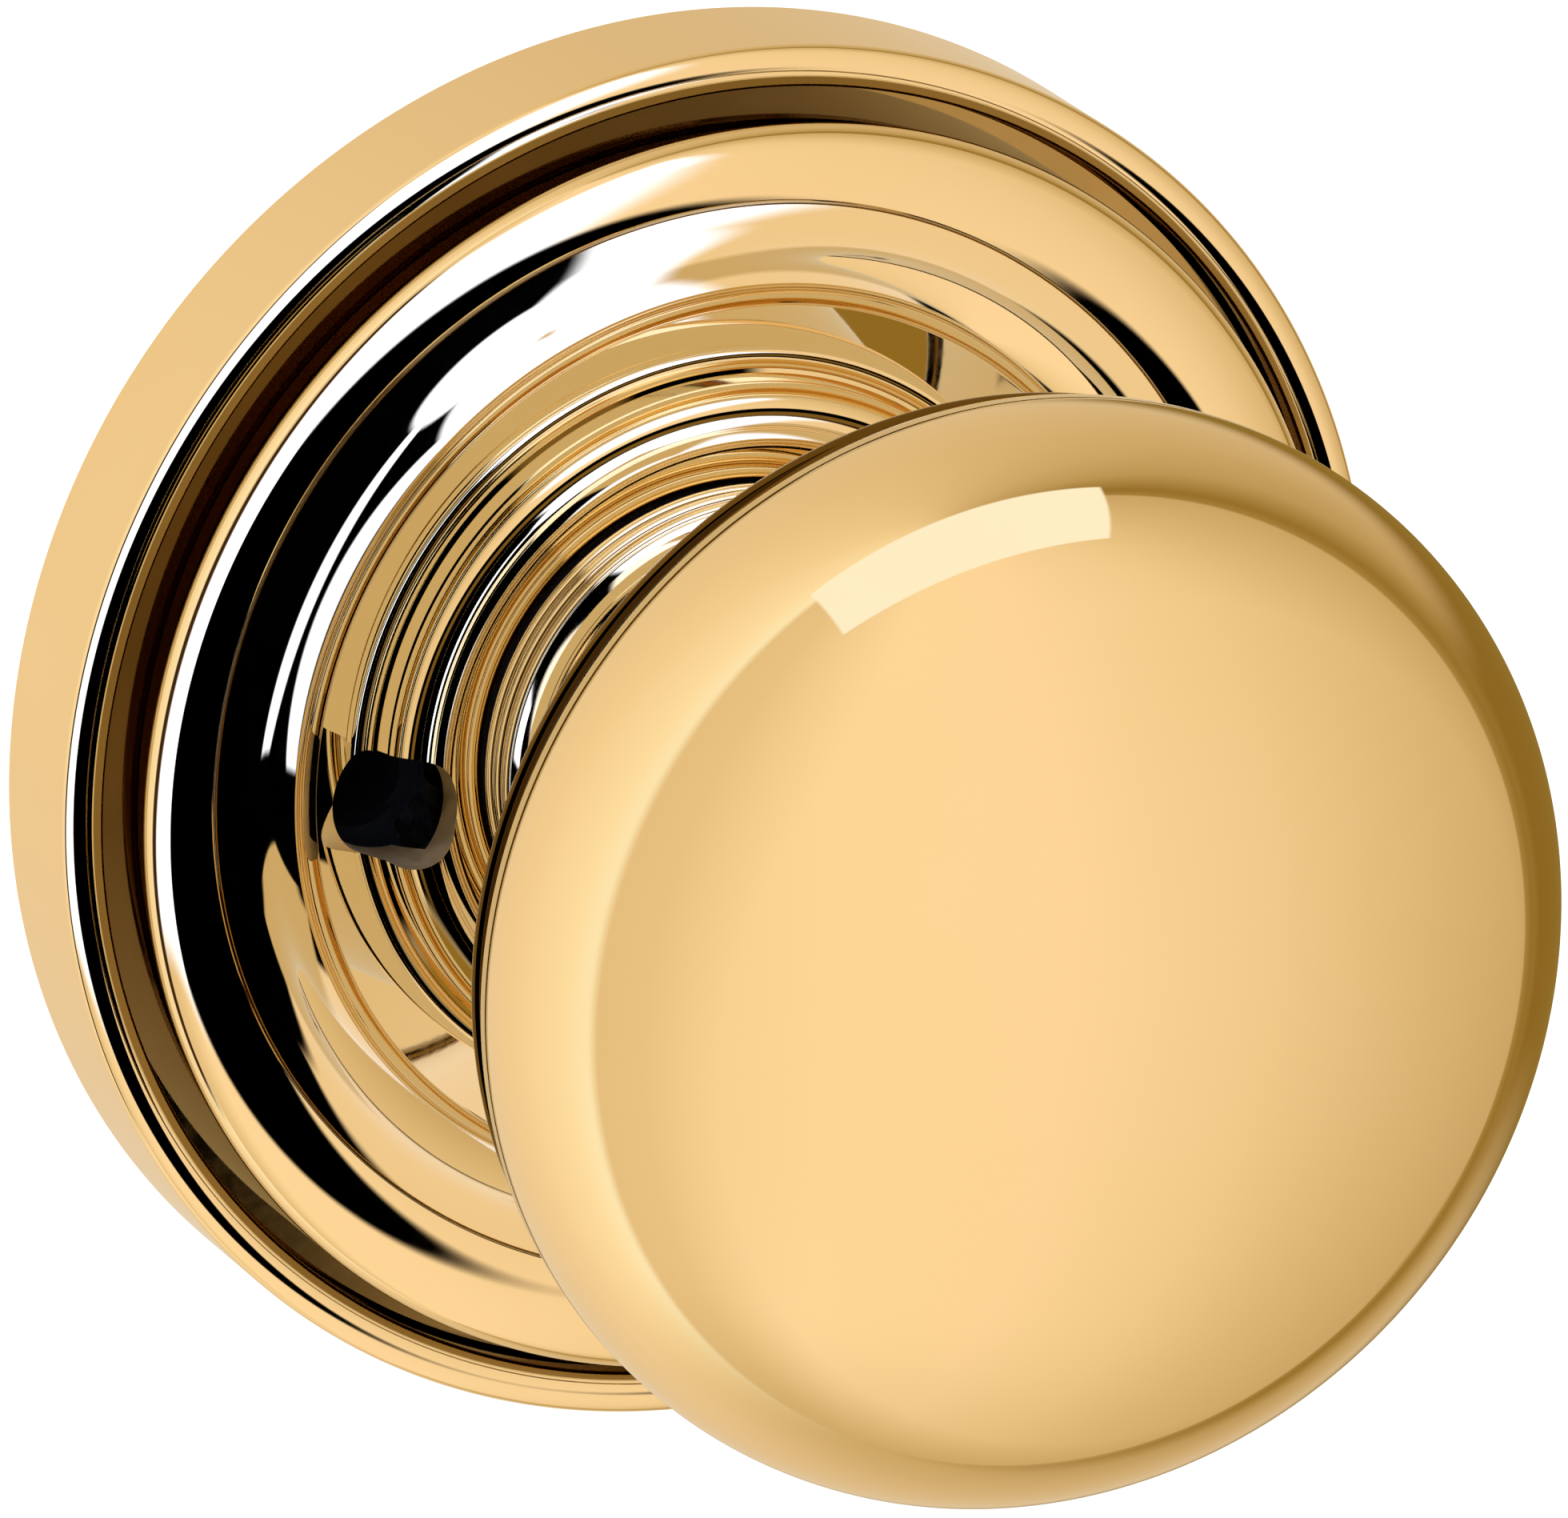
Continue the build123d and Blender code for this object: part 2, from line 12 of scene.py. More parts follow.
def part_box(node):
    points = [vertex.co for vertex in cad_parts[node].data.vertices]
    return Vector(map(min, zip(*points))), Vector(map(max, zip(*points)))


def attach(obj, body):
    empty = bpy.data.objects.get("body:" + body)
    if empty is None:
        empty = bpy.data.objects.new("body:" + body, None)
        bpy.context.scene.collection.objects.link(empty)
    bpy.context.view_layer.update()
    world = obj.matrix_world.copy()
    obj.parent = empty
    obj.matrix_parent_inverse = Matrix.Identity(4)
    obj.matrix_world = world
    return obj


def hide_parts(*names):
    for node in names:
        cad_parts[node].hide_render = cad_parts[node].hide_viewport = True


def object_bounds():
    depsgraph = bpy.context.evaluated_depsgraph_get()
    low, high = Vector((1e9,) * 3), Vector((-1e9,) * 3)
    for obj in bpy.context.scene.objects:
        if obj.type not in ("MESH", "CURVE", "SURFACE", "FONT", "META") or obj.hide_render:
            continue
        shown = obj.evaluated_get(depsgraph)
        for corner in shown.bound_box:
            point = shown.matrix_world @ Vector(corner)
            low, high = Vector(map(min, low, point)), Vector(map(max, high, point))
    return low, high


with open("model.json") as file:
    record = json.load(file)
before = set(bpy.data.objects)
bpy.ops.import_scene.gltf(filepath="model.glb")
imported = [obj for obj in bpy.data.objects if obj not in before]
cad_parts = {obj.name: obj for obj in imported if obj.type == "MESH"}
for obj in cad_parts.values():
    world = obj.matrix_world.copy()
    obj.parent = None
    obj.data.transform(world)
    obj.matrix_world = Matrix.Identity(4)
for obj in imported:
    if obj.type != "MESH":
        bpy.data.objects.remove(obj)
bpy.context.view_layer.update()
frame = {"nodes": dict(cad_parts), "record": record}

# ---------------------------------------------------------------- the turning and the release hole
mm = 0.001
hair = 1e-7  # shorter than any stroke
turn_steps = 288
piston_low, piston_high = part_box("release_pin")
hole_centre = ((piston_low.x + piston_high.x) / 2, (piston_low.z + piston_high.z) / 2)
hole_radius = 2.9 * mm
hole_reach = (2 * mm, 12 * mm)


# ---------------------------------------------------------------- turned outlines
# An outline is a list of strokes, and a stroke is a list of (radius, height, normal) samples, its
# heights counted out from the door. Strokes that meet at an angle keep their own normals, so
# creases stay crisp and arcs shade as true arcs.
def line(start, end):
    """A straight stroke; its surface faces right of the way it runs."""
    along = Vector((end[0] - start[0], end[1] - start[1])).normalized()
    normal = (along.y, -along.x)
    return [(*start, normal), (*end, normal)]


def arc(centre, radius, first, last, steps=24, side=1):
    """An arc by the lean of its normal from straight ahead; side -1 makes it hollow."""
    samples = []
    for step in range(steps + 1):
        lean = radians(first + (last - first) * step / steps)
        out = (sin(lean), cos(lean))
        place = (centre[0] + radius * out[0], centre[1] + radius * out[1])
        samples.append((*place, (side * out[0], side * out[1])))
    return samples


def through(start, middle, end, steps=10):
    """The arc through three points; its surface faces right of the way it runs."""
    (ax, ay), (bx, by), (cx, cy) = start, middle, end
    d = 2 * (ax * (by - cy) + bx * (cy - ay) + cx * (ay - by))
    a2, b2, c2 = ax * ax + ay * ay, bx * bx + by * by, cx * cx + cy * cy
    ux = (a2 * (by - cy) + b2 * (cy - ay) + c2 * (ay - by)) / d
    uy = (a2 * (cx - bx) + b2 * (ax - cx) + c2 * (bx - ax)) / d
    turn = (bx - ax) * (cy - ay) - (by - ay) * (cx - ax)
    first = np.arctan2(ay - uy, ax - ux)
    last = np.arctan2(cy - uy, cx - ux)
    if turn > 0 and last < first:
        last += 2 * pi
    if turn < 0 and last > first:
        last -= 2 * pi
    radius = Vector((ax - ux, ay - uy)).length
    facing = 1 if turn > 0 else -1
    samples = []
    for step in range(steps + 1):
        angle = first + (last - first) * step / steps
        out = (cos(angle), sin(angle))
        place = (ux + radius * out[0], uy + radius * out[1])
        samples.append((*place, (facing * out[0], facing * out[1])))
    return samples


def path(*places):
    """Straight strokes through these points."""
    return [line(a, b) for a, b in zip(places, places[1:])]


def segments_of(strokes):
    """The outline's short pieces: both ends and both normals of each."""
    starts, ends, start_normals, end_normals = [], [], [], []
    for stroke in strokes:
        for a, b in zip(stroke, stroke[1:]):
            starts.append(a[:2])
            ends.append(b[:2])
            start_normals.append(a[2])
            end_normals.append(b[2])
    return [np.array(v) for v in (starts, ends, start_normals, end_normals)]


def turned_mesh(name, strokes, steps=turn_steps):
    """Turn a closed outline about the Y axis into a mesh."""
    starts, ends = segments_of(strokes)[:2]
    closed = np.linalg.norm(ends[-1] - starts[0]) < hair
    rings = list(starts) if closed else [*starts, ends[-1]]
    angles = np.arange(steps) * 2 * pi / steps
    verts, index = [], []
    for r, h in rings:
        first = len(verts)
        if r < hair:
            verts.append((0.0, -h, 0.0))
            index.append([first] * steps)
        else:
            verts += [(r * cos(a), -h, r * sin(a)) for a in angles]
            index.append(list(range(first, first + steps)))
    faces = []
    last = len(rings) if closed else len(rings) - 1
    for i in range(last):
        lower, upper = index[i], index[(i + 1) % len(rings)]
        for j in range(steps):
            k = (j + 1) % steps
            corners = [lower[j], upper[j], upper[k], lower[k]]
            face = list(dict.fromkeys(corners))
            if len(face) > 2:
                faces.append(face)
    mesh = bpy.data.meshes.new(name)
    mesh.from_pydata(verts, [], faces)
    mesh.validate()
    return mesh


def unit_rows(rows):
    """Each row scaled to length 1."""
    return rows / np.maximum(np.linalg.norm(rows, axis=1), hair)[:, None]


def set_normals(mesh, strokes, hole=None):
    """Give each face corner the outline's own normal; the wall of a hole gets the hole's."""
    starts, ends, start_normals, end_normals = segments_of(strokes)
    count = len(mesh.polygons)
    centres = np.zeros(count * 3)
    mesh.polygons.foreach_get("center", centres)
    centres = centres.reshape(-1, 3)
    place = np.stack([np.hypot(centres[:, 0], centres[:, 2]), -centres[:, 1]], 1)
    along = ends - starts
    length2 = np.maximum((along**2).sum(1), hair**2)
    best, nearest = np.full(count, np.inf), np.zeros(count, int)
    for i, (a, d) in enumerate(zip(starts, along)):
        t = np.clip(((place - a) @ d) / length2[i], 0, 1)
        gap = ((place - a - t[:, None] * d) ** 2).sum(1)
        closer = gap < best
        best[closer] = gap[closer]
        nearest[closer] = i
    corners = np.zeros(len(mesh.loops), int)
    mesh.loops.foreach_get("vertex_index", corners)
    totals = np.zeros(count, int)
    mesh.polygons.foreach_get("loop_total", totals)
    owner = np.repeat(np.arange(count), totals)
    points = np.zeros(len(mesh.vertices) * 3)
    mesh.vertices.foreach_get("co", points)
    points = points.reshape(-1, 3)[corners]
    radius = np.hypot(points[:, 0], points[:, 2])
    at_axis = radius < hair
    swing = unit_rows(np.where(at_axis[:, None], centres[owner], points)[:, [0, 2]])
    seg = nearest[owner]
    flat = np.stack([radius, -points[:, 1]], 1)
    t = np.clip(((flat - starts[seg]) * along[seg]).sum(1) / length2[seg], 0, 1)[:, None]
    mixed = unit_rows(start_normals[seg] * (1 - t) + end_normals[seg] * t)
    normals = np.stack([mixed[:, 0] * swing[:, 0], -mixed[:, 1], mixed[:, 0] * swing[:, 1]], 1)
    if hole:
        # the wall's faces stand upright, with their centres just inside the circle
        (hx, hz), hr = hole
        face_normals = np.zeros(count * 3)
        mesh.polygons.foreach_get("normal", face_normals)
        sideways = np.abs(face_normals.reshape(-1, 3)[:, 1]) < 0.02
        reach = np.hypot(centres[:, 0] - hx, centres[:, 2] - hz)
        wall = (sideways & (reach < hr * 1.001) & (reach > hr * 0.98))[owner]
        inward = unit_rows(np.stack([hx - points[:, 0], 0 * points[:, 1], hz - points[:, 2]], 1))
        normals[wall] = inward[wall]
    mesh.polygons.foreach_set("use_smooth", np.ones(count, bool))
    mesh.normals_split_custom_set(normals.tolist())


def facing_out(mesh):
    """Turn the faces outward if the outline ran the other way."""
    mesh.update()
    volume = 0.0
    for polygon in mesh.polygons:
        volume += polygon.center.dot(polygon.normal) * polygon.area
    if volume < 0:
        mesh.flip_normals()


def placed(name, data):
    """A new object in the scene with this mesh or camera."""
    thing = bpy.data.objects.new(name, data)
    bpy.context.scene.collection.objects.link(thing)
    return thing


def brass_piece(mesh, body, node):
    """A polished piece that rides on a body and stands for a CAD node."""
    piece = placed(mesh.name, mesh)
    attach(piece, body)
    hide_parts(node)
    return piece


def turned(node, strokes):
    """A turned piece of the knob."""
    mesh = turned_mesh(node + "_skin", strokes)
    facing_out(mesh)
    set_normals(mesh, strokes)
    return brass_piece(mesh, "knob", node)


def scaled(strokes):
    """Millimetres to metres."""
    return [[(r * mm, h * mm, n) for r, h, n in stroke] for stroke in strokes]


# ---------------------------------------------------------------- the knob's outlines, in mm
seam = -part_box("knob_face")[1].y / mm
knob_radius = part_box("knob_face")[1].x / mm
widest = 40.0
edge_radius = 12.0
edge_tilt = 28.0
shell = 1.5
edge_centre = (knob_radius - edge_radius, widest)
dome_radius = edge_centre[0] / sin(radians(edge_tilt)) + edge_radius
dome_centre = (0.0, widest - (dome_radius - edge_radius) * cos(radians(edge_tilt)))
edge_inside = edge_radius - shell


def lean_at(centre, radius, height):
    """The lean of an arc's normal where the arc reaches a height."""
    return np.degrees(np.arccos((height - centre[1]) / radius))


seam_lean = lean_at(edge_centre, edge_radius, seam)
lip_lean = lean_at(edge_centre, edge_inside, seam)
seam_radius = edge_centre[0] + edge_radius * sin(radians(seam_lean))
lip_radius = edge_centre[0] + edge_inside * sin(radians(lip_lean))
knob_face_strokes = [
    arc(edge_centre, edge_radius, seam_lean, edge_tilt, 48),
    arc(dome_centre, dome_radius, edge_tilt, 0, 40),
    line((0, dome_centre[1] + dome_radius), (0, dome_centre[1] + dome_radius - shell)),
    arc(dome_centre, dome_radius - shell, 0, edge_tilt, 24, -1),
    arc(edge_centre, edge_inside, edge_tilt, lip_lean, 24, -1),
    line((lip_radius, seam), (seam_radius, seam)),
]

neck_end = -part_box("knob_back")[1].y / mm
neck_radius = 12.0
neck_length = 18.0
bell_radius = 15.0
bell_centre = (neck_radius + bell_radius, neck_length)
bell_sweep = 60.0
core_radius = 10.2
bell_inside = bell_radius + neck_radius - core_radius
spigot = lip_radius - 0.35
spigot_inside = spigot - 1.6
spigot_foot, spigot_top = 35.8, 39.2


def bell(radius, first, last, side, steps=32):
    """A stroke along the bell's hollow arc, by degrees swept out from the neck."""
    return arc(bell_centre, radius, first - 90, last - 90, steps, side)


def bell_point(radius, sweep):
    """A point on the bell's arc."""
    across = bell_centre[0] - radius * cos(radians(sweep))
    return (across, bell_centre[1] + radius * sin(radians(sweep)))


clip_low, clip_high, clip_radius = 0.6, 1.5, 11.3
knob_back_strokes = [
    *path(
        (neck_radius, neck_end),
        (neck_radius, clip_low),
        (clip_radius, clip_low),
        (clip_radius, clip_high),
        (neck_radius, clip_high),
        (neck_radius, neck_length),
    ),
    bell(bell_radius, 0, bell_sweep, -1, 48),
    line(bell_point(bell_radius, bell_sweep), (25.0, 34.15)),
    through((25.0, 34.15), (25.95, 34.55), (25.65, 35.3)),
    *path((25.65, 35.3), (25.35, 35.4), (25.35, 35.6)),
    through((25.35, 35.6), (25.75, 35.8), (25.45, 36.0)),
    line((25.45, 36.0), (25.45, 36.15)),
    through((25.45, 36.15), (26.25, 36.5), (26.05, 36.95)),
    *path(
        (26.05, 36.95),
        (26.2, seam),
        (spigot, seam),
        (spigot, spigot_top),
        (spigot_inside, spigot_top),
        (spigot_inside, spigot_foot),
        bell_point(bell_inside, bell_sweep),
    ),
    bell(bell_inside, bell_sweep, 0, 1, 32),
    *path(bell_point(bell_inside, 0), (core_radius, neck_end), (neck_radius, neck_end)),
]

collar_foot, collar_top = 6.95, 9.45
collar_strokes = [
    *path((neck_radius, collar_top), (neck_radius, collar_foot), (12.75, collar_foot)),
    through((12.75, collar_foot), (13.1, 7.3), (12.85, 7.65)),
    *path((12.85, 7.65), (12.7, 7.7), (12.7, 7.85)),
    through((12.7, 7.85), (13.08, 8.2), (12.7, 8.55)),
    *path((12.7, 8.55), (12.6, 8.55), (12.6, 8.7)),
    through((12.6, 8.7), (12.95, 9.0), (12.6, 9.3)),
    *path((12.6, 9.3), (12.3, 9.4), (neck_radius, collar_top)),
]

# ---------------------------------------------------------------- the rose's outline, in mm
rose_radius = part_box("rose")[1].x / mm
rose_shell = 1.6
rim_bead = 1.05
rim_centre = (rose_radius - rim_bead, 6.2)
groove_floor = 5.2
groove_corner = 0.2
shoulder_centre = (30.26, 8.91)
shoulder = 1.5
crown = 7.2
crown_first, crown_last = 23.0, -50.0
inner_shoulder = 1.6
crown_centre = (
    shoulder_centre[0] - (crown - shoulder) * sin(radians(crown_first)),
    shoulder_centre[1] - (crown - shoulder) * cos(radians(crown_first)),
)
inner_centre = (
    crown_centre[0] + (crown - inner_shoulder) * sin(radians(crown_last)),
    crown_centre[1] + (crown - inner_shoulder) * cos(radians(crown_last)),
)
hollow_edge = inner_centre[0] - inner_shoulder
ring_centre = (16.33, 6.44)
ring = 1.75


def on_ring(lean):
    """A point on the small ring's arc."""
    return (ring_centre[0] + ring * sin(radians(lean)), ring_centre[1] + ring * cos(radians(lean)))


bore_radius = 13.05
rim_inside = rose_radius - rose_shell
bead_inside = rim_centre[0] - rim_bead
shoulder_edge = shoulder_centre[0] + shoulder
corner_lean, corner = 30.0, 0.55
corner_sine = sin(radians(corner_lean))
flat_crown = (rim_bead - corner * (1 - corner_sine)) / corner_sine
flat_crown_centre = rim_centre[1] + rim_bead - flat_crown
bead_corner = flat_crown_centre + (flat_crown - corner) * cos(radians(corner_lean))
under_flange, under_rim = 3.0, 3.6
rose_strokes = [
    line((rose_radius, 0), (rose_radius, bead_corner)),
    arc((rose_radius - corner, bead_corner), corner, 90, corner_lean, 12),
    arc((rim_centre[0], flat_crown_centre), flat_crown, corner_lean, -corner_lean, 24),
    arc((bead_inside + corner, bead_corner), corner, -corner_lean, -90, 12),
    *path(
        (bead_inside, bead_corner),
        (bead_inside, groove_floor + groove_corner),
        (bead_inside - groove_corner, groove_floor),
        (shoulder_edge, groove_floor),
        (shoulder_edge, shoulder_centre[1]),
    ),
    arc(shoulder_centre, shoulder, 90, crown_first, 20),
    arc(crown_centre, crown, crown_first, crown_last, 48),
    arc(inner_centre, inner_shoulder, crown_last, -90, 16),
    *path((hollow_edge, inner_centre[1]), (hollow_edge, 6.2), (19.3, 5.1)),
    through((19.3, 5.1), (18.75, 5.2), (18.45, 5.75)),
    *path((18.45, 5.75), (18.25, 5.85), on_ring(85)),
    arc(ring_centre, ring, 85, -55, 32),
    *path(
        on_ring(-55),
        (bore_radius, 6.75),
        (bore_radius, under_flange),
        (14.5, under_flange),
        (14.5, 5.6),
        (16.3, 6.4),
        (17.2, 4.2),
        (19.6, 3.4),
        (23.4, 4.7),
        (23.9, 7.9),
    ),
    through((23.9, 7.9), (27.6, 9.25), (30.0, 8.3)),
    *path(
        (30.0, 8.3),
        (30.0, under_rim),
        (rim_inside, under_rim),
        (rim_inside, 0),
        (rose_radius, 0),
    ),
]

# ---------------------------------------------------------------- pieces
knob_face = turned("knob_face", scaled(knob_face_strokes))
knob_back = turned("knob_back", scaled(knob_back_strokes))
knob_collar = turned("knob_collar", scaled(collar_strokes))


def drill():
    """A round rod where the release hole goes."""
    start, end = hole_reach
    mesh = turned_mesh(
        "drill", path((0, start), (hole_radius, start), (hole_radius, end), (0, end)), 96
    )
    facing_out(mesh)
    mesh.transform(Matrix.Translation((hole_centre[0], 0, hole_centre[1])))
    return placed("drill", mesh)


def drilled_mesh(strokes):
    """The turned rose with the release hole cut through it."""
    mesh = turned_mesh("rose_blank", strokes)
    facing_out(mesh)
    blank, tool = placed("rose_blank", mesh), drill()
    cut = blank.modifiers.new("hole", "BOOLEAN")
    cut.operation = "DIFFERENCE"
    cut.solver = "EXACT"
    cut.object = tool
    graph = bpy.context.evaluated_depsgraph_get()
    finished = bpy.data.meshes.new_from_object(blank.evaluated_get(graph))
    bpy.data.objects.remove(tool)
    bpy.data.objects.remove(blank)
    return finished


def rose_part(name, whole, strokes, is_inner):
    """The faces of the rose inside or outside the edge of its hollow, as a piece."""
    mesh = whole.copy()
    mesh.name = name
    draft = bmesh.new()
    draft.from_mesh(mesh)
    extra = []
    for face in draft.faces:
        centre = face.calc_center_median()
        if (centre.xz.length < hollow_edge * mm) != is_inner:
            extra.append(face)
    bmesh.ops.delete(draft, geom=extra, context="FACES")
    draft.to_mesh(mesh)
    draft.free()
    set_normals(mesh, strokes, (hole_centre, hole_radius))
    return brass_piece(mesh, "trim", "rose")


whole_rose = drilled_mesh(scaled(rose_strokes))
rose = rose_part("rose_skin", whole_rose, scaled(rose_strokes), False)
rose_inner = rose_part("rose_inner_skin", whole_rose, scaled(rose_strokes), True)
bpy.data.meshes.remove(whole_rose)


# ---------------------------------------------------------------- materials
def new_material(name, **sockets):
    """A principled material with these shader sockets set, and its nodes."""
    material = bpy.data.materials.new(name)
    material.use_nodes = True
    nodes, links = material.node_tree.nodes, material.node_tree.links
    shader = nodes["Principled BSDF"]
    for socket, value in sockets.items():
        shader.inputs[socket.replace("_", " ")].default_value = value
    return material, nodes, links, shader


def noise(nodes, links, scale, detail=4.0, stretch=(1, 1, 1)):
    """Object-space noise, drawn out along the axes given."""
    coords = nodes.new("ShaderNodeTexCoord")
    mapping = nodes.new("ShaderNodeMapping")
    mapping.inputs["Scale"].default_value = stretch
    texture = nodes.new("ShaderNodeTexNoise")
    texture.inputs["Scale"].default_value = scale
    texture.inputs["Detail"].default_value = detail
    links.new(coords.outputs["Object"], mapping.inputs["Vector"])
    links.new(mapping.outputs["Vector"], texture.inputs["Vector"])
    return texture


def spread(nodes, links, source, low, high):
    """The noise's middle range mapped to low..high."""
    remap = nodes.new("ShaderNodeMapRange")
    remap.inputs["From Min"].default_value = 0.3
    remap.inputs["From Max"].default_value = 0.7
    remap.inputs["To Min"].default_value = low
    remap.inputs["To Max"].default_value = high
    links.new(source.outputs["Fac"], remap.inputs["Value"])
    return remap


def tint(nodes, links, source, first, second):
    """A colour ramp between two tints along the noise."""
    ramp = nodes.new("ShaderNodeValToRGB")
    ramp.color_ramp.elements[0].position = 0.35
    ramp.color_ramp.elements[0].color = (*first, 1)
    ramp.color_ramp.elements[1].position = 0.65
    ramp.color_ramp.elements[1].color = (*second, 1)
    links.new(source.outputs["Fac"], ramp.inputs["Fac"])
    return ramp


def raised(nodes, links, shader, source, strength, depth):
    """The noise as fine relief in the normals, depth in metres."""
    bump = nodes.new("ShaderNodeBump")
    bump.inputs["Strength"].default_value = strength
    bump.inputs["Distance"].default_value = depth
    links.new(source.outputs["Fac"], bump.inputs["Height"])
    links.new(bump.outputs["Normal"], shader.inputs["Normal"])


def worked_metal(name, first, second, rough, grain=0.0, scale=40.0, stretch=(1, 1, 1)):
    """A metal with slightly uneven tint and roughness, and a fine grain in its normals."""
    material, nodes, links, shader = new_material(name, Metallic=1.0)
    patches = noise(nodes, links, scale)
    links.new(tint(nodes, links, patches, first, second).outputs["Color"], shader.inputs["Base Color"])
    streaks = noise(nodes, links, scale * 30, 2.0, stretch)
    rough_range = spread(nodes, links, streaks, *rough)
    links.new(rough_range.outputs["Result"], shader.inputs["Roughness"])
    if grain:
        raised(nodes, links, shader, streaks, grain, 0.02 * mm)
    return material


def moulded(name, first, second, rough, grain):
    """A moulded plastic with a faint mottle and a fine tooled surface."""
    material, nodes, links, shader = new_material(name, Specular_IOR_Level=0.2)
    patches = noise(nodes, links, 60.0)
    links.new(tint(nodes, links, patches, first, second).outputs["Color"], shader.inputs["Base Color"])
    tooling = noise(nodes, links, 3000.0, 2.0)
    rough_range = spread(nodes, links, tooling, *rough)
    links.new(rough_range.outputs["Result"], shader.inputs["Roughness"])
    raised(nodes, links, shader, tooling, grain, 0.03 * mm)
    return material


# Polished brass has the same mean tint as brass_tint. Shaded brass is polished brass painted darker,
# as painted shade in narrow grooves and beads between mirrors, and bored brass is for the wall of the
# drilled hole.
brass_tint = (0.88, 0.68, 0.36)
brass = worked_metal("polished_brass", (0.874, 0.672, 0.35), (0.886, 0.688, 0.37), (0.015, 0.03))
painted_shade_brass = worked_metal("painted_shade_brass", (0.3, 0.18, 0.05), (0.42, 0.26, 0.08), (0.03, 0.06))
bored_brass = worked_metal("bored_brass", (0.97, 0.76, 0.4), (0.99, 0.8, 0.46), (0.5, 0.6), 0.2)
finishes = {
    "polished_brass": brass,
    "solder": worked_metal("solder", (0.5, 0.5, 0.48), (0.6, 0.6, 0.58), (0.35, 0.5), 0.4),
    "cast_zinc": worked_metal("cast_zinc", (0.42, 0.42, 0.44), (0.52, 0.52, 0.54), (0.42, 0.6), 0.6),
    "plated_steel": worked_metal(
        "plated_steel", (0.56, 0.57, 0.6), (0.68, 0.68, 0.66), (0.2, 0.32), 0.2, 30.0
    ),
    "plain_steel": worked_metal(
        "plain_steel", (0.5, 0.5, 0.5), (0.6, 0.6, 0.61), (0.24, 0.36), 0.3, 60.0, (1, 12, 1)
    ),
    "spring_steel": worked_metal(
        "spring_steel", (0.28, 0.28, 0.3), (0.4, 0.4, 0.41), (0.22, 0.34), 0.2, 80.0
    ),
    "black_oxide": worked_metal(
        "black_oxide", (0.012, 0.012, 0.013), (0.03, 0.03, 0.032), (0.4, 0.55), 0.3
    ),
    "black_nylon": moulded(
        "black_nylon", (0.004, 0.004, 0.004), (0.008, 0.008, 0.008), (0.6, 0.7), 0.2
    ),
    "bronze": worked_metal("bronze", (0.5, 0.3, 0.14), (0.6, 0.37, 0.18), (0.25, 0.38), 0.3),
}
slot_of = {part["node"]: part["material_slot"] for part in frame["record"]["subparts"]}
for node_name, node in frame["nodes"].items():
    node.data.materials.clear()
    node.data.materials.append(finishes[slot_of[node_name]])


def two_brasses(piece, second, is_second):
    """Polished brass, and a second kind on the faces that is_second picks."""
    piece.data.materials.clear()
    piece.data.materials.append(brass)
    piece.data.materials.append(second)
    for polygon in piece.data.polygons:
        polygon.material_index = int(is_second(polygon))


def between(low, high):
    """A test for faces whose centres lie between two (radius, height) corners in mm."""

    def test(polygon):
        radius, height = polygon.center.xz.length / mm, -polygon.center.y / mm
        return low[0] < radius < high[0] and low[1] < height < high[1]

    return test


def on_hole_wall(polygon):
    """Whether a face is on the wall of the release hole."""
    reach = (polygon.center.xz - Vector(hole_centre)).length
    return reach < 1.01 * hole_radius and abs(polygon.normal.y) < 0.1


# the rim's groove and the knob's beads get the darker brass: painted shade where the polished brass
# lies in shade
shaded_rim_groove = between((31.7, 5.1), (32.95, 7.4))
shaded_knob_beads = between((24.6, 33.9), (26.4, 37.2))
for piece in (knob_face, knob_collar):
    piece.data.materials.append(brass)
two_brasses(rose, painted_shade_brass, shaded_rim_groove)
two_brasses(rose_inner, bored_brass, on_hole_wall)
two_brasses(knob_back, painted_shade_brass, shaded_knob_beads)

# ---------------------------------------------------------------- stage
floor_half = 3.0
floor_gap = 0.06


def paper_floor():
    """A large sheet of pale paper below the knob, which the polished pieces don't mirror."""
    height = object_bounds()[0][2] - floor_gap
    mesh = bpy.data.meshes.new("floor")
    edges = (-floor_half, floor_half)
    verts = [(x, y, 0) for x in edges for y in edges]
    mesh.from_pydata(verts, [], [(0, 2, 3, 1)])
    mesh.materials.append(new_material("paper", Roughness=0.9, Base_Color=(0.92, 0.92, 0.92, 1))[0])
    floor = placed("floor", mesh)
    floor.location.z = height
    floor.visible_glossy = False


paper_floor()

# ---------------------------------------------------------------- light
# White air lights the stage. What the polished pieces mirror is set by soft glowing domes round
# them, one for each group of pieces, which stand for the panels and flags of a product studio.
# Directions on a dome are degrees round from the front, positive to the right, and degrees up.
def maths(tree, operation, first, second=0.0):
    """A maths node on sockets or numbers."""
    node = tree.nodes.new("ShaderNodeMath")
    node.operation = operation
    for socket, value in zip(node.inputs, (first, second)):
        if isinstance(value, float):
            socket.default_value = value
        else:
            tree.links.new(value, socket)
    return node.outputs[0]


def opposite(tree, value):
    """The value with its sign changed."""
    return maths(tree, "MULTIPLY", value, -1.0)


def outside(tree, mask):
    """1 where the mask is 0."""
    return maths(tree, "SUBTRACT", 1.0, mask)


def ease(tree, value, low, high):
    """0 below low, 1 above high, smooth between."""
    node = tree.nodes.new("ShaderNodeMapRange")
    node.interpolation_type = "SMOOTHSTEP"
    node.inputs["From Min"].default_value = low
    node.inputs["From Max"].default_value = high
    tree.links.new(value, node.inputs["Value"])
    return node.outputs["Result"]


def both(tree, *masks):
    """The product of masks."""
    product = masks[0]
    for mask in masks[1:]:
        product = maths(tree, "MULTIPLY", product, mask)
    return product


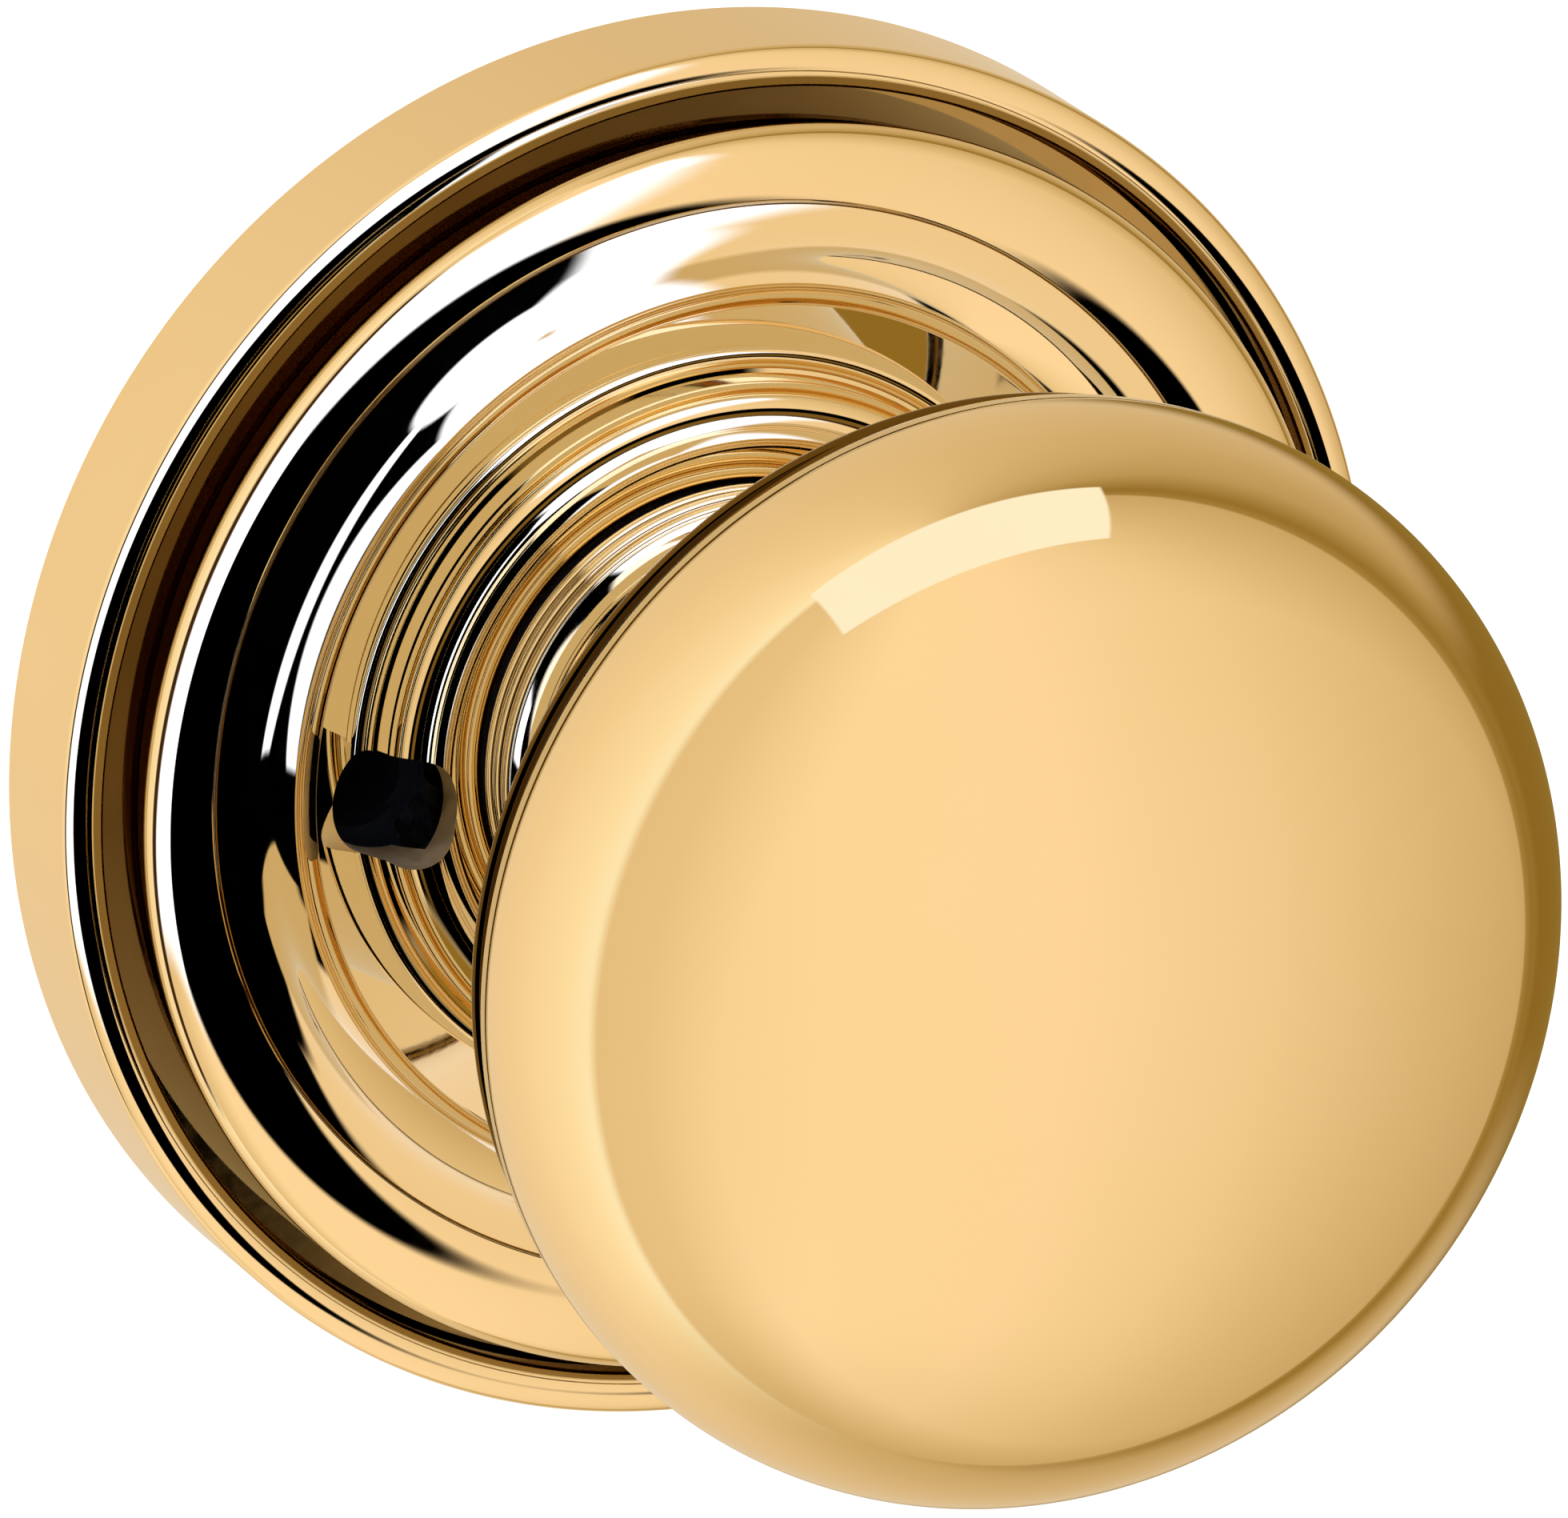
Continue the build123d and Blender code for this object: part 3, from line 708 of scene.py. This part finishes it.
def within(tree, value, low, high, soft):
    """1 between low and high, fading over soft outside them."""
    rise = ease(tree, value, low - soft, low)
    fall = ease(tree, value, high, high + soft)
    return both(tree, rise, outside(tree, fall))


def seen(red, green, blue, gain=1.0, bounces=1):
    """The light that brass turns into this display colour, after one bounce or more."""
    straight = []
    for level, metal in zip((red, green, blue), brass_tint):
        share = level / 255
        linear = share / 12.92 if share < 0.04 else ((share + 0.055) / 1.055) ** 2.4
        straight.append(gain * linear / metal**bounces)
    return (*straight, 1)


def laid_over(tree, under, *layers):
    """A colour with others laid over it in turn, each where its mask is 1."""
    for colour, mask in layers:
        node = tree.nodes.new("ShaderNodeMix")
        node.data_type = "RGBA"
        for socket, value in ((node.inputs[6], under), (node.inputs[7], colour)):
            if isinstance(value, tuple):
                socket.default_value = value
            else:
                tree.links.new(value, socket)
        tree.links.new(mask, node.inputs[0])
        under = node.outputs[2]
    return under


def parts(tree, vector):
    """A vector's three numbers."""
    split = tree.nodes.new("ShaderNodeSeparateXYZ")
    tree.links.new(vector, split.inputs[0])
    return split.outputs


def bearings(tree):
    """The direction from the knob: degrees round, degrees up, and as a unit vector."""
    coords = tree.nodes.new("ShaderNodeTexCoord")
    unit = tree.nodes.new("ShaderNodeVectorMath")
    unit.operation = "NORMALIZE"
    tree.links.new(coords.outputs["Object"], unit.inputs[0])
    x, y, z = parts(tree, unit.outputs[0])
    around = maths(tree, "DEGREES", maths(tree, "ARCTAN2", x, opposite(tree, y)))
    up = maths(tree, "DEGREES", maths(tree, "ARCSINE", z))
    return around, up, unit.outputs[0]


def round_wall(tree, around):
    """The tent's wall as brass shows it, brightest in front and to the left, darkest at the right."""
    ramp = tree.nodes.new("ShaderNodeValToRGB")
    shades = [
        (-180, (228, 188, 124)),
        (-140, (243, 203, 139)),
        (-105, (254, 220, 157)),
        (-92, (254, 229, 173)),
        (-87, (230, 190, 126)),
        (-65, (233, 193, 129)),
        (-18, (254, 214, 151)),
        (12, (254, 213, 151)),
        (40, (240, 200, 137)),
        (62, (222, 183, 119)),
        (89, (203, 163, 98)),
        (90, (166, 126, 58)),
        (95, (150, 110, 40)),
        (101, (168, 128, 60)),
        (110, (190, 150, 84)),
        (130, (206, 166, 101)),
        (180, (228, 188, 124)),
    ]
    elements = ramp.color_ramp.elements
    while len(elements) < len(shades):
        elements.new(0.5)
    for element, (degrees, colour) in zip(elements, shades):
        element.position = (degrees + 180) / 360
        element.color = seen(*colour)
    share = maths(tree, "DIVIDE", maths(tree, "ADD", around, 180.0), 360.0)
    tree.links.new(share, ramp.inputs["Fac"])
    return ramp.outputs["Color"]


def flag_mask(tree, bearing, reach):
    """1 inside a round black flag in front of the rose, reach degrees from its centre."""
    around, up = radians(-2), radians(-13)
    facing = tree.nodes.new("ShaderNodeVectorMath")
    facing.operation = "DOT_PRODUCT"
    facing.inputs[1].default_value = (sin(around) * cos(up), -cos(around) * cos(up), sin(up))
    tree.links.new(bearing, facing.inputs[0])
    return ease(tree, facing.outputs["Value"], cos(radians(reach + 1)), cos(radians(reach - 1)))


def deep(tree):
    """1 for what is seen through a second mirror or a later one."""
    rays = tree.nodes.new("ShaderNodeLightPath")
    return ease(tree, rays.outputs["Ray Depth"], 1.4, 1.6)


def dome_mesh(name, radius, rings=24, steps=48):
    """A sphere."""
    verts = [(0, 0, radius), (0, 0, -radius)]
    for i in range(1, rings):
        for j in range(steps):
            tall, turn = pi * i / rings, 2 * pi * j / steps
            flat = radius * sin(tall)
            verts.append((flat * cos(turn), flat * sin(turn), radius * cos(tall)))
    faces = []
    for j in range(steps):
        k = (j + 1) % steps
        faces.append((0, 2 + j, 2 + k))
        faces.append((1, 2 + (rings - 2) * steps + k, 2 + (rings - 2) * steps + j))
        for i in range(rings - 2):
            first = 2 + i * steps
            faces.append((first + j, first + steps + j, first + steps + k, first + k))
    mesh = bpy.data.meshes.new(name)
    mesh.from_pydata(verts, [], faces)
    return mesh


def glow_material(name):
    """A clear material that glows, and the socket of its colour."""
    material = bpy.data.materials.new(name)
    material.use_nodes = True
    material.cycles.emission_sampling = "NONE"
    tree = material.node_tree
    tree.nodes.remove(tree.nodes["Principled BSDF"])
    glow = tree.nodes.new("ShaderNodeEmission")
    clear = tree.nodes.new("ShaderNodeBsdfTransparent")
    total = tree.nodes.new("ShaderNodeAddShader")
    tree.links.new(glow.outputs[0], total.inputs[0])
    tree.links.new(clear.outputs[0], total.inputs[1])
    tree.links.new(total.outputs[0], tree.nodes["Material Output"].inputs["Surface"])
    return material, glow.inputs["Color"]


def glowing_dome(name, radius, receivers, colouring):
    """A dome that only these pieces mirror, coloured by what colouring makes of its node tree."""
    dome = placed(name, dome_mesh(name, radius))
    dome.visible_camera = False
    dome.visible_diffuse = False
    dome.visible_shadow = False
    dome.visible_transmission = False
    group = bpy.data.collections.new(name + "_receivers")
    for piece in receivers:
        group.objects.link(piece)
    dome.light_linking.receiver_collection = group
    material, colour = glow_material(name)
    dome.data.materials.append(material)
    material.node_tree.links.new(colouring(material.node_tree), colour)


black = (0.0, 0.0, 0.0, 1.0)
white = seen(255, 255, 255, 1.3)
twice_white = seen(255, 255, 255, 1.3, 2)
twice_tan = seen(203, 164, 98, 1.0, 2)
umber = seen(62, 36, 12)


def round_the_face(tree):
    """A soft wall that darkens below, a softbox overhead and a shade to the right."""
    around, up, bearing = bearings(tree)
    x, y, z = parts(tree, bearing)
    softbox = both(
        tree,
        within(tree, maths(tree, "DIVIDE", x, z), -0.43, 0.48, 0.015),
        within(tree, maths(tree, "DIVIDE", opposite(tree, y), z), -0.07, 0.41, 0.015),
        ease(tree, up, 40, 41),
    )
    shade = both(tree, within(tree, around, 104.0, 150.0, 12.0), within(tree, up, -24.0, 0.0, 14.0))
    return laid_over(
        tree,
        round_wall(tree, around),
        (seen(206, 167, 102), ease(tree, opposite(tree, up), 50, 95)),
        (seen(140, 100, 30), shade),
        (seen(255, 238, 196), softbox),
        (black, deep(tree)),
    )


def round_the_rose(tree):
    """A white panel with a dark stripe at its left, and the flag low in front."""
    around, up, bearing = bearings(tree)
    lean = maths(tree, "ADD", around, maths(tree, "MULTIPLY", up, -0.3))
    panel = both(tree, within(tree, lean, -70.0, 6.0, 10.0), within(tree, up, -28.0, 62.0, 9.0))
    stripe = both(tree, within(tree, lean, -90.0, -78.0, 5.0), within(tree, up, -50.0, 60.0, 8.0))
    return laid_over(
        tree,
        round_wall(tree, around),
        (umber, stripe),
        (white, panel),
        (black, flag_mask(tree, bearing, 26)),
        (twice_tan, deep(tree)),
    )


def round_the_hollow(tree):
    """The flag fills most of the front, with a faint ring in it, a white top and a brown bottom."""
    around, up, bearing = bearings(tree)
    top = both(tree, within(tree, around, -40.0, 50.0, 12.0), ease(tree, up, 46, 54))
    bottom = ease(tree, opposite(tree, up), 40, 50)
    ring = both(
        tree,
        flag_mask(tree, bearing, 45),
        outside(tree, flag_mask(tree, bearing, 37)),
        ease(tree, up, -50, -30),
    )
    return laid_over(
        tree,
        round_wall(tree, around),
        (white, top),
        (seen(144, 104, 32), bottom),
        (black, both(tree, flag_mask(tree, bearing, 54), outside(tree, bottom))),
        (seen(120, 84, 30), ring),
        (twice_tan, deep(tree)),
    )


def round_the_back(tree):
    """Brown and black where it is seen straight, and a lit room where the rose mirrors it."""
    around, up, bearing = bearings(tree)
    right_side = both(tree, within(tree, around, 50.0, 130.0, 6.0), ease(tree, up, -62, -55))
    right_front = both(tree, within(tree, around, 0.0, 72.0, 6.0), ease(tree, up, -86, -80))
    right_top = both(tree, ease(tree, up, 14, 32), within(tree, around, 45.0, 150.0, 10.0))
    left_strip = both(tree, within(tree, around, -84.0, -68.0, 3.0), ease(tree, up, -52, -48))
    through_rose = laid_over(
        tree,
        black,
        (seen(240, 200, 137, 1.0, 2), right_side),
        (seen(205, 165, 99, 1.0, 2), right_front),
        (twice_white, right_top),
        (twice_white, ease(tree, up, 56, 61)),
        (twice_white, left_strip),
    )
    return laid_over(
        tree,
        seen(152, 114, 50),
        (black, within(tree, around, -118.0, -76.0, 6.0)),
        (seen(92, 64, 32), within(tree, around, -68.0, -18.0, 6.0)),
        (through_rose, deep(tree)),
    )


glowing_dome("face_tent", 5.0, [knob_face], round_the_face)
glowing_dome("rose_tent", 5.1, [rose, *frame["nodes"].values()], round_the_rose)
glowing_dome("inner_tent", 5.3, [rose_inner, knob_collar], round_the_hollow)
glowing_dome("back_tent", 5.2, [knob_back], round_the_back)


def white_air(strength):
    """A white world that lights the stage but isn't mirrored."""
    world = bpy.data.worlds.new("studio")
    bpy.context.scene.world = world
    world.use_nodes = True
    tree = world.node_tree
    sky = tree.nodes["Background"]
    sky.inputs["Color"].default_value = (1, 1, 1, 1)
    rays = tree.nodes.new("ShaderNodeLightPath")
    mirrored = maths(tree, "MULTIPLY", rays.outputs["Is Glossy Ray"], strength)
    tree.links.new(maths(tree, "SUBTRACT", strength, mirrored), sky.inputs["Strength"])


white_air(1.35)
bpy.context.scene.view_settings.view_transform = "Standard"

# ---------------------------------------------------------------- camera
camera_place = Vector((-0.32073, -0.69433, 0.26860))
view_azimuth, view_elevation, view_roll = radians(25.22), radians(19.57), radians(0.767)


def studio_camera():
    """A long lens from the left and above, aimed by the view's angles."""
    level = Vector((cos(view_azimuth), -sin(view_azimuth), 0))
    ahead = Vector((sin(view_azimuth), cos(view_azimuth), 0))
    forward = cos(view_elevation) * ahead - Vector((0, 0, sin(view_elevation)))
    right = cos(view_roll) * level + sin(view_roll) * level.cross(forward)
    facing = Matrix((right, right.cross(forward), -forward)).transposed()
    lens = bpy.data.cameras.new("camera")
    lens.lens = 379.2
    lens.sensor_width = 36.0
    lens.clip_end = 20.0
    camera = placed("camera", lens)
    camera.matrix_world = Matrix.Translation(camera_place) @ facing.to_4x4()
    bpy.context.scene.camera = camera


studio_camera()


def corners(box):
    """A box as plain lists."""
    return [[float(value) for value in corner] for corner in box]
